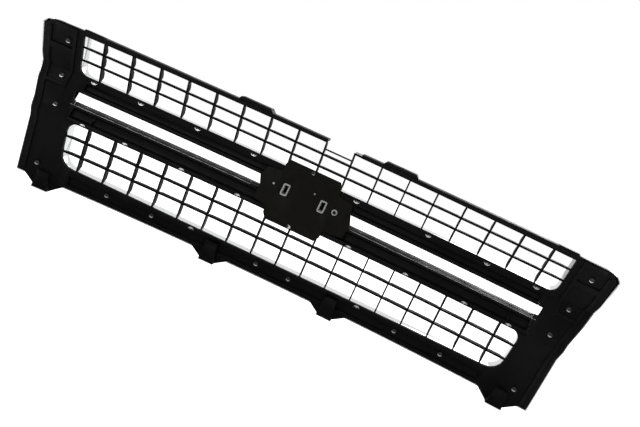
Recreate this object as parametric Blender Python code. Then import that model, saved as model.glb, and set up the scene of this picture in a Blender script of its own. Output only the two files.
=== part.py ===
"""Front grille of a full-size vehicle: bright surround and bars, two black egg-crate grids, black carriers.

Every piece is first modelled flat, then formed. In the flat model X runs across the vehicle, Y runs rearwards
from the datum, which is the rear edge of the grids, and Z runs up from the first bar of the upper grid.
Forming bows the piece in plan, leans it in side view and crowns it in front view, along straight facets
between fixed stations, so pieces that clear each other in the flat model still clear each other afterwards.
"""

import math

import bmesh
import bpy
from mathutils import Vector

# ---- driving dimensions, in metres -----------------------------------------------------------------------

# grids
RIB_PAIRS = 8  # ribs on each side of the centre rib, in both grids
UPPER_PITCH = 0.0540
PITCH_LOSS = 0.0031  # the lower grid's ribs stand this much closer together
LOWER_PITCH = UPPER_PITCH - PITCH_LOSS
RIB_THICK = 0.0027
BAR_THICK = 0.0034
UPPER_BAR_STEP = 0.0225
LOWER_BAR_STEP = 0.0293
GRID_DEPTH = 0.0160
CROSSING_DEPTH = 0.0115  # depth of ribs and bars where they cross
FOOT_DEPTH = 0.0060  # depth of a rib where it runs out into the frame
SCALLOP_RAMP = 0.0045  # length of the slope between the two depths
RING_WIDTH = 0.0038
RING_THICK = 0.0034
TONGUE = 0.0023  # how far ribs and bars reach into their ring
LATCH_BAR_Z = 0.0101
LATCH_BAR_THICK = 0.0020
LATCH_NOTCH = 0.0100  # how far the latch gap cuts down from the upper opening's top edge

# the upper opening
UPPER_END = 0.0380  # from the last rib to the opening's end
UPPER_HALF = RIB_PAIRS * UPPER_PITCH + UPPER_END
UPPER_TOP = 0.0224
UPPER_HEIGHT = 0.0694
UPPER_BOTTOM = UPPER_TOP - UPPER_HEIGHT
UPPER_TOP_DROP = 0.0035  # the top edge falls this much towards the ends
UPPER_RADIUS = 0.0140
UPPER_BARS = (0.0, -UPPER_BAR_STEP)

# the belt between the openings, with its two long slots
BELT_HEIGHT = 0.0874
SLOT_DROP = 0.0320  # from the upper opening down to the slots
SLOT_HEIGHT = 0.0154
SLOT_INNER = 0.0907
SLOT_SLANT = 0.0064  # both inner ends slant the same way
SLOT_TAPER = 0.0025
SLOT_TOP = UPPER_BOTTOM - SLOT_DROP
SLOT_BOTTOM = SLOT_TOP - SLOT_HEIGHT

# the lower opening
LOWER_END = 0.0388
LOWER_HALF = RIB_PAIRS * LOWER_PITCH + LOWER_END
LOWER_FOOT_LOSS = 0.0060  # the opening is this much narrower at its foot, on each side
LOWER_HALF_AT_FOOT = LOWER_HALF - LOWER_FOOT_LOSS
LOWER_TOP = UPPER_BOTTOM - BELT_HEIGHT
LOWER_HEIGHT = 0.0886
LOWER_BOTTOM = LOWER_TOP - LOWER_HEIGHT
LOWER_BOTTOM_RISE = 0.0062  # the bottom edge rises this much towards the ends
LOWER_RADIUS_TOP = 0.0160
LOWER_RADIUS_BOTTOM = 0.0260
LOWER_FLOOR_HALF = LOWER_HALF_AT_FOOT - LOWER_RADIUS_BOTTOM
LOWER_BAR_DROP = 0.0270  # from the opening's top edge to its first bar
LOWER_BARS = (LOWER_TOP - LOWER_BAR_DROP, LOWER_TOP - LOWER_BAR_DROP - LOWER_BAR_STEP)

# walls, faces and joints
WALL = 0.0026  # wall of the black mouldings
SKIN = 0.0028  # wall of the bright mouldings
GAP = 0.0004  # between pieces that touch
HOLE_PLAY = 0.0004  # around a fastener's leg or shank
FLANGE_REAR = 0.0033  # rear face of the carriers' flanges
BRIGHT_FRONT = 0.0300  # front face of the surround, ahead of the datum
BAR_FRONT = 0.0345  # front face of the centre bars, ahead of the datum
BAR_CROWN = 0.0006
SHELL_REAR = -RING_THICK - GAP  # rear edge of the bright mouldings
SHELL_DROP = 0.0022  # the shell's top edge lies this much below the rails
RAIL_RISE = RING_WIDTH + GAP + WALL  # the top rail above the upper opening
SILL_HEIGHT = 0.0320
RAIL_TOP = UPPER_TOP + RAIL_RISE
RAIL_BOTTOM = LOWER_BOTTOM - SILL_HEIGHT
SLOT_END_CLEAR = 0.0150
SLOT_OUTER = LOWER_HALF + SLOT_END_CLEAR
MID_SPLIT = SLOT_OUTER - 0.0090  # where the middle rails meet the end panels
BELT_HALF = SLOT_OUTER + 0.0050  # half the centre bars' length
FOOT_SPLIT = LOWER_FLOOR_HALF + 0.0040  # where the bottom rail meets the end panels
LATCH_CLEAR = UPPER_PITCH + 0.0138  # where the left top rail stops

# forming
PLAN_BOW = 0.1648  # rearward sweep in metres per square metre of X
CROWN = 0.0142  # drop of the ends in metres per square metre of X
DRAW_RISE = 0.10  # the bars climb towards the front by this much of their depth
UPPER_RAKE = 0.617
LOWER_RAKE = 0.274
BELT_TOP = UPPER_BOTTOM - 0.0043
BELT_BOTTOM = LOWER_TOP - 0.0006
BELT_STEP = 0.0226  # the belt's bottom edge is this far behind its top edge
STATION = 0.1080
STATION_REACH = math.ceil((UPPER_HALF + 0.1) / STATION)
STATIONS = [STATION * k for k in range(-STATION_REACH, STATION_REACH + 1)]

# middle rails
RECESS_SLOPE = 0.0015  # height of a slanted step into a recess
UPPER_STEP_DROP = 0.0118  # from the upper opening down to the recess
UPPER_RECESS = 0.0083
UPPER_RECESS_HEIGHT = 0.0124
LOWER_RECESS = 0.0088
LOWER_RECESS_RISE = 0.0104  # the recess ends this far above the lower opening
LIP_DROP = 0.0091  # from the slots down to the lower rail's lip
SHELF_FRONT = -BAR_FRONT + SKIN + BAR_CROWN + GAP
SLOT_FALL = 0.0067  # from the slots' lower edge at the rear down to the shelf and the lower bar
SHELF_STEP = 0.0012
SHELF_STEP_Y = -0.0150

# bottom rail and legs
APRON = 0.0065
SILL_RECESS = 0.0060
SILL_RECESS_HEIGHT = 0.0170
SILL_SCREW_DROP = 0.0140
LEG_CENTRES = (0.1220, LOWER_HALF + 0.0140)
LEG_DROPS = (0.0170, 0.0195)  # below the bottom rail
LEG_TOP_HALF = 0.0110
LEG_FOOT_HALF = 0.0150
LEG_HEIGHTS = (0.0400, 0.0345)
LEG_FRONT = -0.0030
LEG_REAR = 0.0120
GUSSET_REACH = 0.0260
GUSSET_REAR = 0.0008

# end panels
PANEL_INSET = (0.0078, 0.0046)  # from the shell's outline, at the top and at the foot
SKIRT_FRONT = -0.0160
RIDGE_HEIGHT = 0.0040
RIDGE_WIDTH = 0.0055
PAD_HALF = 0.0205
END_STRIP = 0.0360

# top tabs
TAB_CENTRE = 0.1410
TAB_HALF = 0.0340
TAB_RISE = 0.0062
TAB_SLOPE = 0.0055
TAB_FRONT = -0.0220
TAB_REAR = 0.0045
TAB_BOLT_Y = -0.0090
TAB_BOLT_RADIUS = 0.0035

# badge
BADGE_X = 0.0370  # the two badge sockets
BADGE_Z = (SLOT_TOP + SLOT_BOTTOM) / 2 + 0.0007
SOCKET_OUTER = (0.0134, 0.0224)
SOCKET_TUBE = (0.0104, 0.0194)
SOCKET_BORE = (0.0078, 0.0168)
SLEEVE_FLANGE = 0.0016
STUD_X = -0.0620
STUD_RADIUS = 0.0019
NUT_RADIUS = 0.0056
BADGE_HALF = 0.0885
BADGE_TALL = 0.0270
BADGE_CORNER = 0.0120
BADGE_THICK = 0.0045
BADGE_RIM = 0.0025
PRONG_END = -0.0120
PLATE_THICK = 0.0030
PLATE_EAR = 0.0560
PLATE_RISE = 0.0150  # the plate's ears overlap the openings by this much
PLATE_SCREW_X = 0.0020
PLATE_SEAT = FLANGE_REAR + GAP + PLATE_THICK + GAP  # what sits on the plate starts here

# fasteners
CLIP_WIDTH = 0.0140
CLIP_HEIGHT = 0.0062
CLIP_LEG = (0.0080, 0.0014)
CLIP_HEAD = 0.0016
CLIP_DROPS = (0.0054, 0.0030, 0.0032)  # upper, lower and sill clips, away from their openings
SCREW_HEAD_RADIUS = 0.0044
SCREW_HEAD_HEIGHT = 0.0024
SCREW_SHANK_RADIUS = 0.0020
SCREW_REACH = 0.0090
UPPER_CLIPS_X = (
    -UPPER_HALF + 0.032,
    -6.4 * UPPER_PITCH,
    -4.3 * UPPER_PITCH,
    -1.66 * UPPER_PITCH,
    2.19 * UPPER_PITCH,
    4.3 * UPPER_PITCH,
    6.4 * UPPER_PITCH,
    UPPER_HALF - 0.032,
)
LOWER_CLIPS_X = [side * k * LOWER_PITCH for side in (-1, 1) for k in (2.19, 4.4, 6.61, 8.24)]
SILL_CLIPS_X = (-3.34 * LOWER_PITCH, 3.34 * LOWER_PITCH)
SILL_SCREWS_X = [side * k * LOWER_PITCH for side in (-1, 1) for k in (0.66, 4.9, 6.69)]
END_SCREWS_OUT = {-1: (0.0368, 0.0310, 0.0425, 0.0327), 1: (0.0260, 0.0254, 0.0340, 0.0325)}
END_SCREWS_Z = (-0.0004, UPPER_BOTTOM - 0.0155, LOWER_TOP + 0.0199, LOWER_BOTTOM - 0.0070)

BLACK = (0.012, 0.012, 0.013, 1.0)
BADGE_BLACK = (0.016, 0.015, 0.013, 1.0)
BRIGHT = (0.78, 0.79, 0.80, 1.0)
ZINC = (0.62, 0.62, 0.60, 1.0)
GREY = (0.30, 0.30, 0.30, 1.0)


# ---- materials and scene ---------------------------------------------------------------------------------


def clear_scene():
    for obj in list(bpy.data.objects):
        bpy.data.objects.remove(obj, do_unlink=True)


def material(name, colour, roughness, metallic):
    made = bpy.data.materials.new(name)
    made.use_nodes = True
    shader = made.node_tree.nodes["Principled BSDF"]
    shader.inputs["Base Color"].default_value = colour
    shader.inputs["Roughness"].default_value = roughness
    shader.inputs["Metallic"].default_value = metallic
    made.diffuse_color = colour
    return made


# ---- outlines --------------------------------------------------------------------------------------------


def fillet(points, radii, steps=4):
    """The closed outline with each corner that has a radius turned into an arc."""
    out = []
    count = len(points)
    for i, radius in enumerate(radii):
        here = Vector(points[i])
        before = Vector(points[i - 1]) - here
        after = Vector(points[(i + 1) % count]) - here
        if radius == 0:
            out.append(tuple(here))
            continue
        half = before.angle(after) / 2
        reach = radius / math.tan(half)
        centre = here + (before.normalized() + after.normalized()).normalized() * radius / math.sin(half)
        start = here + before.normalized() * reach - centre
        end = here + after.normalized() * reach - centre
        sweep = start.angle_signed(end)
        for s in range(steps + 1):
            turn = -sweep * s / steps
            c, n = math.cos(turn), math.sin(turn)
            out.append((centre.x + start.x * c - start.y * n, centre.y + start.x * n + start.y * c))
    return out


def arched(x0, x1, z_middle, z_ends, half):
    """Points of a shallow parabola from x0 to x1, one at each station between them."""
    between = [x for x in STATIONS if min(x0, x1) + 0.001 < x < max(x0, x1) - 0.001]
    xs = [x0] + sorted(between, reverse=x0 > x1) + [x1]
    return [(x, z_middle + (z_ends - z_middle) * (x / half) ** 2) for x in xs]


def upper_top_edge(x):
    return UPPER_TOP - UPPER_TOP_DROP * (x / UPPER_HALF) ** 2


def lower_bottom_edge(x):
    return LOWER_BOTTOM + LOWER_BOTTOM_RISE * min(1.0, (x / LOWER_FLOOR_HALF) ** 2)


def upper_opening(grow=0.0):
    """Clockwise from the top left. The top corners are sharp and the bottom ones are round."""
    x = UPPER_HALF + grow
    low = UPPER_BOTTOM - grow
    top = arched(-x, x, UPPER_TOP + grow, UPPER_TOP + grow - UPPER_TOP_DROP, UPPER_HALF)
    r = UPPER_RADIUS + grow
    corners = fillet([(x, top[-1][1]), (x, low), (-x, low), (-x, top[0][1])], [0, r, r, 0])
    return top[:-1] + corners[:-1]


def lower_opening(grow=0.0):
    """Clockwise from the top left, with all four corners round."""
    x, foot = LOWER_HALF + grow, LOWER_HALF_AT_FOOT + grow
    top = LOWER_TOP + grow
    low = LOWER_BOTTOM + LOWER_BOTTOM_RISE - grow
    r1, r2 = LOWER_RADIUS_TOP + grow, LOWER_RADIUS_BOTTOM + grow
    ring = fillet([(-x, top), (x, top), (foot, low), (-foot, low)], [r1, r1, r2, r2])
    split = len(ring) - 5
    right_foot, left_foot = ring[split - 1], ring[split]
    floor = arched(right_foot[0], left_foot[0], LOWER_BOTTOM - grow, low, right_foot[0])
    return ring[:split] + floor[1:-1] + ring[split:]


def slot_opening(side, grow=0.0):
    """One of the two long slots in the belt. Both inner ends slant the same way."""
    inner_top = side * SLOT_INNER + SLOT_SLANT / 2 - side * grow
    inner_low = side * SLOT_INNER - SLOT_SLANT / 2 - side * grow
    outer = side * (SLOT_OUTER + grow)
    return [
        (inner_top, SLOT_TOP + grow),
        (outer, SLOT_TOP + grow),
        (outer - side * SLOT_TAPER, SLOT_BOTTOM - grow),
        (inner_low, SLOT_BOTTOM - grow),
    ]


def shell_flank():
    """The right-hand outline from the top rail down to the foot: a leaning flank with cut top corners."""
    return [
        (UPPER_HALF - 0.0400, RAIL_TOP),
        (UPPER_HALF + 0.0620, RAIL_TOP - 0.0030),
        (UPPER_HALF + 0.0710, RAIL_TOP - 0.0047),
        (UPPER_HALF + 0.0795, RAIL_TOP - 0.0127),
        (UPPER_HALF + 0.0770, UPPER_BOTTOM + 0.0100),
        (LOWER_HALF + 0.0900, SLOT_TOP - 0.0030),
        (LOWER_HALF + 0.0790, LOWER_TOP + 0.0184),
        (LOWER_HALF + 0.0725, LOWER_TOP - 0.0156),
        (LOWER_HALF + 0.0705, RAIL_BOTTOM - 0.0040),
    ]


def shell_outline(inset=0.0):
    """The outer outline, clockwise from the top left; with an inset, its top stays open."""
    flank = shell_flank()
    sill = [(0.160, RAIL_BOTTOM - 0.0042), (0.078, RAIL_BOTTOM - 0.0056)]
    right = []
    for i, (x, z) in enumerate(flank):
        fall = SHELL_DROP if z > UPPER_TOP - LATCH_NOTCH else 0
        right.append((x - (inset if i else 0), z - fall + (inset if i in (0, 1, len(flank) - 1) else 0)))
    right += [(x, z + inset) for x, z in sill]
    left = [(-x, z) for x, z in reversed(right)]
    return right + left


def offset_path(path, thick):
    """A closed section: the path, and its copy moved by thick to the right of its direction."""
    moved = []
    for i, point in enumerate(path):
        here = Vector(point)
        before = (here - Vector(path[i - 1])).normalized() if i else None
        after = (Vector(path[i + 1]) - here).normalized() if i + 1 < len(path) else None
        normals = [Vector((d.y, -d.x)) for d in (before, after) if d is not None]
        mean = sum(normals, Vector((0, 0))).normalized()
        moved.append(tuple(here + mean * thick / mean.dot(normals[0])))
    return list(path) + moved[::-1]


# ---- solids ----------------------------------------------------------------------------------------------


def prism(outline, place, low, high):
    """A closed solid from an outline; place(u, v, w) gives a corner's position at height w."""
    bm = bmesh.new()
    bottom = [bm.verts.new(place(u, v, low)) for u, v in outline]
    top = [bm.verts.new(place(u, v, high)) for u, v in outline]
    bm.faces.new(bottom)
    bm.faces.new(top[::-1])
    for i in range(len(outline)):
        j = (i + 1) % len(outline)
        bm.faces.new((bottom[j], bottom[i], top[i], top[j]))
    bmesh.ops.recalc_face_normals(bm, faces=bm.faces)
    return bm


def plate(outline, front, rear):
    """An outline in X and Z, extruded in Y."""
    return prism(outline, lambda x, z, y: (x, y, z), front, rear)


def section(outline, x0, x1):
    """An outline in Y and Z, extruded in X."""
    return prism(outline, lambda y, z, x: (x, y, z), x0, x1)


def box(x0, x1, y0, y1, z0, z1):
    return plate([(x0, z0), (x1, z0), (x1, z1), (x0, z1)], y0, y1)


def round_bar(x, z, radius, front, rear, sides):
    ring = [math.tau * (i + 0.5) / sides for i in range(sides)]
    return plate([(x + radius * math.cos(a), z + radius * math.sin(a)) for a in ring], front, rear)


def joined(solids):
    """Several solids that don't touch, in one mesh."""
    bm = bmesh.new()
    for solid in solids:
        mesh = bpy.data.meshes.new("part_of_a_group")
        solid.to_mesh(mesh)
        solid.free()
        bm.from_mesh(mesh)
        bpy.data.meshes.remove(mesh)
    return bm


def boolean(base, tool, operation):
    """The EXACT boolean of two solids, which are used up."""
    scratch = []
    for bm in (base, tool):
        mesh = bpy.data.meshes.new("operand")
        bm.to_mesh(mesh)
        bm.free()
        obj = bpy.data.objects.new("operand", mesh)
        bpy.context.scene.collection.objects.link(obj)
        scratch.append(obj)
    step = scratch[0].modifiers.new("step", "BOOLEAN")
    step.solver = "EXACT"
    step.operation = operation
    step.object = scratch[1]
    evaluated = scratch[0].evaluated_get(bpy.context.evaluated_depsgraph_get())
    result = bmesh.new()
    result.from_mesh(evaluated.to_mesh())
    evaluated.to_mesh_clear()
    for obj in scratch:
        mesh = obj.data
        bpy.data.objects.remove(obj, do_unlink=True)
        bpy.data.meshes.remove(mesh)
    bmesh.ops.remove_doubles(result, verts=result.verts, dist=0.000002)
    return result


def cut(base, *tools):
    for tool in tools:
        base = boolean(base, tool, "DIFFERENCE")
    return base


def fused(base, *tools):
    for tool in tools:
        base = boolean(base, tool, "UNION")
    return base


# ---- forming ---------------------------------------------------------------------------------------------


def lean(z):
    """Y of the datum surface at the centre line: a raked upper face, the belt, and a steeper lower face."""
    if z >= BELT_TOP:
        return UPPER_RAKE * z
    belt_top = UPPER_RAKE * BELT_TOP
    if z >= BELT_BOTTOM:
        return belt_top + BELT_STEP * (BELT_TOP - z) / (BELT_TOP - BELT_BOTTOM)
    return belt_top + BELT_STEP + LOWER_RAKE * (z - BELT_BOTTOM)


def between_stations(x, scale):
    """scale times x squared, along straight lines between the stations."""
    k = math.floor(x / STATION)
    a, b = k * STATION, (k + 1) * STATION
    return scale * (a * a + (b * b - a * a) * (x - a) / STATION)


def formed(co):
    return Vector(
        (
            co.x,
            co.y + between_stations(co.x, PLAN_BOW) + lean(co.z),
            co.z - DRAW_RISE * co.y - between_stations(co.x, CROWN),
        )
    )


def form(bm):
    """Merges coplanar faces, splits them at the stations and folds, and moves each corner to its place."""
    flat = math.radians(0.3)
    bmesh.ops.dissolve_limit(bm, angle_limit=flat, verts=[], edges=bm.edges)
    bmesh.ops.dissolve_limit(bm, angle_limit=flat, verts=bm.verts, edges=[])
    planes = [(Vector((x, 0, 0)), Vector((1, 0, 0))) for x in STATIONS]
    planes += [(Vector((0, 0, z)), Vector((0, 0, 1))) for z in (BELT_TOP, BELT_BOTTOM)]
    for point, normal in planes:
        geometry = bm.verts[:] + bm.edges[:] + bm.faces[:]
        bmesh.ops.bisect_plane(bm, geom=geometry, dist=0.000002, plane_co=point, plane_no=normal)
    for vert in bm.verts:
        vert.co = formed(vert.co)
    return bm


def add(name, bm, finish, frame, smooth_below=35):
    """Forms a flat solid and adds it to the scene as one named object."""
    form(bm)
    bmesh.ops.triangulate(bm, faces=bm.faces[:])
    mesh = bpy.data.meshes.new(name)
    bm.to_mesh(mesh)
    bm.free()
    mesh.shade_smooth()
    mesh.set_sharp_from_angle(angle=math.radians(smooth_below))
    mesh.materials.append(finish)
    obj = bpy.data.objects.new(name, mesh)
    bpy.context.scene.collection.objects.link(obj)
    obj.parent = frame
    return obj


# ---- grids -----------------------------------------------------------------------------------------------


def scalloped(start, end, crossings, foot_start, foot_end):
    """(position, depth) along the front edge of a rib or bar: deep between crossings and shallow at them."""
    ramp = SCALLOP_RAMP
    edge = [(start, foot_start)]
    stops = [start] + sorted(crossings) + [end]
    for i in range(len(stops) - 1):
        a, b = stops[i], stops[i + 1]
        flat_a = a + ramp * (0.5 if i else 0.9)
        flat_b = b - ramp * (0.5 if i + 2 < len(stops) else 0.9)
        if i:
            edge.append((flat_a, CROSSING_DEPTH))
        edge.append((flat_a + ramp, GRID_DEPTH))
        edge.append((flat_b - ramp, GRID_DEPTH))
        if i + 2 < len(stops):
            edge.append((flat_b, CROSSING_DEPTH))
    edge.append((end, foot_end))
    return edge


def rib(x, top, bottom, bars):
    """A vertical rib: straight at the rear, scalloped at the front, with a tongue at each end."""
    front = [(-d, z) for z, d in scalloped(bottom + GAP, top - GAP, bars, FOOT_DEPTH, CROSSING_DEPTH)]
    rear = -RING_THICK
    outline = [(0, bottom - TONGUE), (rear, bottom - TONGUE), (rear, bottom + GAP)] + front
    outline += [(rear, top - GAP), (rear, top + TONGUE), (0, top + TONGUE)]
    return section(outline, x - RIB_THICK / 2, x + RIB_THICK / 2)


def bar(z, half, ribs, thick):
    """A horizontal bar with the same scallops, from side to side of an opening."""
    depth = scalloped(-half + GAP, half - GAP, ribs, FOOT_DEPTH, FOOT_DEPTH)
    outline = [(-half - TONGUE, 0), (-half - TONGUE, -RING_THICK), (-half + GAP, -RING_THICK)]
    outline += [(x, -d) for x, d in depth]
    outline += [(half - GAP, -RING_THICK), (half + TONGUE, -RING_THICK), (half + TONGUE, 0)]
    return prism(outline, lambda x, y, h: (x, y, h), z - thick / 2, z + thick / 2)


def clip_holes(xs, z, front, rear):
    width, height = CLIP_LEG
    holes = []
    for x in xs:
        w, h = width / 2 + HOLE_PLAY, height / 2 + HOLE_PLAY
        holes.append(box(x - w, x + w, front, rear, z - h, z + h))
    return joined(holes)


def upper_grid():
    xs = [k * UPPER_PITCH for k in range(-RIB_PAIRS, RIB_PAIRS + 1)]
    ring = cut(plate(upper_opening(RING_WIDTH), -RING_THICK, 0), plate(upper_opening(), -0.01, 0.01))
    ribs = joined([rib(x, upper_top_edge(x), UPPER_BOTTOM, UPPER_BARS) for x in xs])
    bars = joined([bar(z, UPPER_HALF, xs, BAR_THICK) for z in UPPER_BARS])
    grid = fused(ring, ribs, bars)
    face = RIB_THICK / 2
    notch = box(-UPPER_PITCH + face, -face, -GRID_DEPTH, 0.01, UPPER_TOP - LATCH_NOTCH, RAIL_TOP)
    half = LATCH_BAR_THICK / 2
    latch_bar = box(-UPPER_PITCH, 0, -CROSSING_DEPTH, -0.0006, LATCH_BAR_Z - half, LATCH_BAR_Z + half)
    return fused(cut(grid, notch), latch_bar)


def lower_grid():
    xs = [k * LOWER_PITCH for k in range(-RIB_PAIRS, RIB_PAIRS + 1)]
    ring = cut(plate(lower_opening(RING_WIDTH), -RING_THICK, 0), plate(lower_opening(), -0.01, 0.01))
    ribs = joined([rib(x, LOWER_TOP, lower_bottom_edge(x), LOWER_BARS) for x in xs])
    taper = LOWER_FOOT_LOSS / LOWER_HEIGHT
    bars = joined([bar(z, LOWER_HALF - taper * (LOWER_TOP - z), xs, BAR_THICK) for z in LOWER_BARS])
    return fused(ring, ribs, bars)


# ---- black carriers --------------------------------------------------------------------------------------


def top_rail(x0, x1):
    """A lip behind the upper opening's top edge and a shelf that runs forward over it."""
    lip = FLANGE_REAR - WALL
    shelf = -BRIGHT_FRONT + SKIN + GAP
    top = [(x, RAIL_TOP) for x, _ in arched(x0, x1, 0, 0, 1)]
    foot = [(x, upper_top_edge(x)) for x, _ in arched(x1, x0, 0, 0, 1)]
    rail = plate(top + foot, lip, FLANGE_REAR)
    rail = fused(rail, box(x0, x1, shelf, FLANGE_REAR, RAIL_TOP - WALL, RAIL_TOP))
    outer = x0 if abs(x0) > abs(x1) else x1
    inner = outer - math.copysign(END_STRIP, outer)
    ends = sorted((outer, inner))
    strip = box(*ends, -0.0120, lip + 0.001, RAIL_TOP - 0.001, RAIL_TOP + 0.0014)
    return fused(rail, strip)


def end_caps(room, half):
    """Two walls that close a rail's recess at its ends; room is the recess's outline in Y and Z."""
    return joined([section(room, -half, -half + WALL), section(room, half - WALL, half)])


def mid_rail_upper():
    """The channel between the upper grid and the slots, with the slots' upper wall."""
    flange, recess = FLANGE_REAR, FLANGE_REAR - UPPER_RECESS
    high = UPPER_BOTTOM - UPPER_STEP_DROP
    low = high - UPPER_RECESS_HEIGHT
    path = [
        (flange, UPPER_BOTTOM),
        (flange, high),
        (recess, high - RECESS_SLOPE),
        (recess, low),
        (flange, low - RECESS_SLOPE),
        (flange, SLOT_TOP),
        (-BRIGHT_FRONT + SKIN + GAP, SLOT_TOP),
    ]
    rail = section(offset_path(path, WALL), -MID_SPLIT, MID_SPLIT)
    back = recess - 0.001
    room = [(back, low - 0.0005), (flange, low - 0.003), (flange, high + 0.001), (back, high)]
    rail = fused(rail, end_caps(room, MID_SPLIT))
    x = SLOT_INNER - 0.004
    core = box(-x, x, -0.05, 0.05, SLOT_TOP - 0.001, SLOT_TOP + WALL + 0.0003)
    return cut(rail, core, clip_holes(UPPER_CLIPS_X, UPPER_BOTTOM - CLIP_DROPS[0], -0.01, 0.01))


def mid_rail_lower():
    """The channel between the slots and the lower grid, with a stepped shelf under the slots."""
    flange, recess = FLANGE_REAR, FLANGE_REAR - LOWER_RECESS
    shelf = SLOT_BOTTOM - SLOT_FALL
    lip = SLOT_BOTTOM - LIP_DROP
    low = LOWER_TOP + LOWER_RECESS_RISE
    path = [
        (SHELF_FRONT, shelf),
        (SHELF_STEP_Y, shelf),
        (SHELF_STEP_Y, shelf - SHELF_STEP),
        (flange, shelf - SHELF_STEP),
        (flange, lip - 0.0042),
        (recess, lip - 0.0080),
        (recess, low),
        (flange, low - 0.0032),
        (flange, LOWER_TOP),
    ]
    rail = section(offset_path(path, WALL), -MID_SPLIT, MID_SPLIT)
    back = recess - 0.001
    room = [(back, low), (flange, low - 0.004), (flange, lip - 0.003), (back, lip - 0.007)]
    rail = fused(rail, end_caps(room, MID_SPLIT))
    x = SLOT_INNER - 0.004
    core = box(-x, x, -0.05, 0.05, shelf - SHELF_STEP - WALL - 0.0003, shelf + 0.001)
    return cut(rail, core, clip_holes(LOWER_CLIPS_X, LOWER_TOP + CLIP_DROPS[1], -0.0001, 0.01))


def leg(x, drop, height):
    """A hollow foot with a trapezoid pad and a web on each side that ties it to the bottom rail."""
    bottom = RAIL_BOTTOM - drop
    top = bottom + height
    pad = [(x - LEG_TOP_HALF, top), (x + LEG_TOP_HALF, top)]
    pad += [(x + LEG_FOOT_HALF, bottom), (x - LEG_FOOT_HALF, bottom)]
    reach = LEG_FOOT_HALF + GUSSET_REACH
    tip = LEG_FOOT_HALF - 0.001
    root = RAIL_BOTTOM + 0.001
    web = [(x - reach, root), (x + reach, root), (x + tip, bottom), (x - tip, bottom)]
    hollow = [
        (x - LEG_TOP_HALF + WALL, top - WALL),
        (x + LEG_TOP_HALF - WALL, top - WALL),
        (x + LEG_FOOT_HALF - WALL, bottom + 2 * WALL),
        (x - LEG_FOOT_HALF + WALL, bottom + 2 * WALL),
    ]
    solid = fused(plate(pad, LEG_FRONT, LEG_REAR), plate(web, LEG_FRONT, GUSSET_REAR))
    return cut(solid, plate(hollow, LEG_FRONT - 0.01, LEG_REAR - WALL))


def bottom_rail():
    """The sill under the lower grid, with a recess for its screws and the two inner legs."""
    flange, recess = FLANGE_REAR, FLANGE_REAR - SILL_RECESS
    high = LOWER_BOTTOM - APRON
    low = high - SILL_RECESS_HEIGHT
    path = [
        (flange, LOWER_BOTTOM),
        (flange, high),
        (recess, high - RECESS_SLOPE),
        (recess, low),
        (flange, low - RECESS_SLOPE),
        (flange, RAIL_BOTTOM),
        (-BRIGHT_FRONT + SKIN + GAP, RAIL_BOTTOM),
    ]
    rail = section(offset_path(path, WALL), -FOOT_SPLIT, FOOT_SPLIT)
    back = recess - 0.001
    room = [(back, low - 0.0005), (flange, low - 0.003), (flange, high + 0.001), (back, high)]
    rail = fused(rail, end_caps(room, FOOT_SPLIT))
    top = LOWER_BOTTOM + LOWER_BOTTOM_RISE
    face = arched(-LOWER_FLOOR_HALF, LOWER_FLOOR_HALF, LOWER_BOTTOM, top, LOWER_FLOOR_HALF)
    ends = [(s * FOOT_SPLIT, lower_bottom_edge(FOOT_SPLIT)) for s in (-1, 1)]
    foot = high + RECESS_SLOPE
    outline = [ends[0]] + face + [ends[1], (FOOT_SPLIT, foot), (-FOOT_SPLIT, foot)]
    apron = plate(outline, flange - WALL, flange)
    rail = fused(rail, apron)
    x, drop, height = LEG_CENTRES[0], LEG_DROPS[0], LEG_HEIGHTS[0]
    rail = fused(rail, leg(-x, drop, height), leg(x, drop, height))
    z = LOWER_BOTTOM - SILL_SCREW_DROP
    slots = clip_holes(SILL_CLIPS_X, LOWER_BOTTOM - CLIP_DROPS[2], -0.0001, 0.01)
    return cut(rail, slots, joined([shank_hole(x, z) for x in SILL_SCREWS_X]))


def shank_hole(x, z):
    return round_bar(x, z, SCREW_SHANK_RADIUS + HOLE_PLAY, -0.02, 0.02, 8)


def mirrored(points, side):
    return [(side * x, z) for x, z in points]


def panel_edge():
    """The shell's flank, moved in by a margin that shrinks towards the foot."""
    margin, foot_margin = PANEL_INSET
    edge = []
    for i, (x, z) in enumerate(shell_flank()[1:]):
        share = min(1.0, max(0.0, (RAIL_TOP - z) / (RAIL_TOP - SLOT_TOP)))
        fall = SHELL_DROP + 2 * GAP if i in (1, 2) else 0
        edge.append((x - margin + (margin - foot_margin) * share, max(z - fall, RAIL_BOTTOM)))
    return edge


def ridges():
    """Raised borders around the pads of an end panel, for the right-hand side."""
    outer = [(x - RIDGE_WIDTH - 0.004, z) for x, z in panel_edge()[2:]]
    outer[-1] = (outer[-1][0], RAIL_BOTTOM + 0.006)
    inner = [(x - RIDGE_WIDTH, z) for x, z in reversed(outer)]
    middle = UPPER_HALF + 0.0310
    left, right = middle - PAD_HALF, middle + PAD_HALF
    shelf = UPPER_BOTTOM - 0.0270
    return (
        outer + inner,
        rectangle_between(left, right, 0.0150, 0.0240),
        rectangle_between(left, left + RIDGE_WIDTH, shelf, 0.0160),
        rectangle_between(left + 0.0050, right + 0.0060, -0.0215, -0.0115),
        rectangle_between(left, right - 0.0040, shelf - 0.0060, shelf),
    )


def rectangle_between(x0, x1, z0, z1):
    return [(x0, z1), (x1, z1), (x1, z0), (x0, z0)]


def end_screws(side):
    """Where the four screws of one end panel are."""
    halves = (UPPER_HALF, UPPER_HALF, LOWER_HALF, LOWER_HALF)
    return [(side * (h + out), z) for h, out, z in zip(halves, END_SCREWS_OUT[side], END_SCREWS_Z)]


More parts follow.
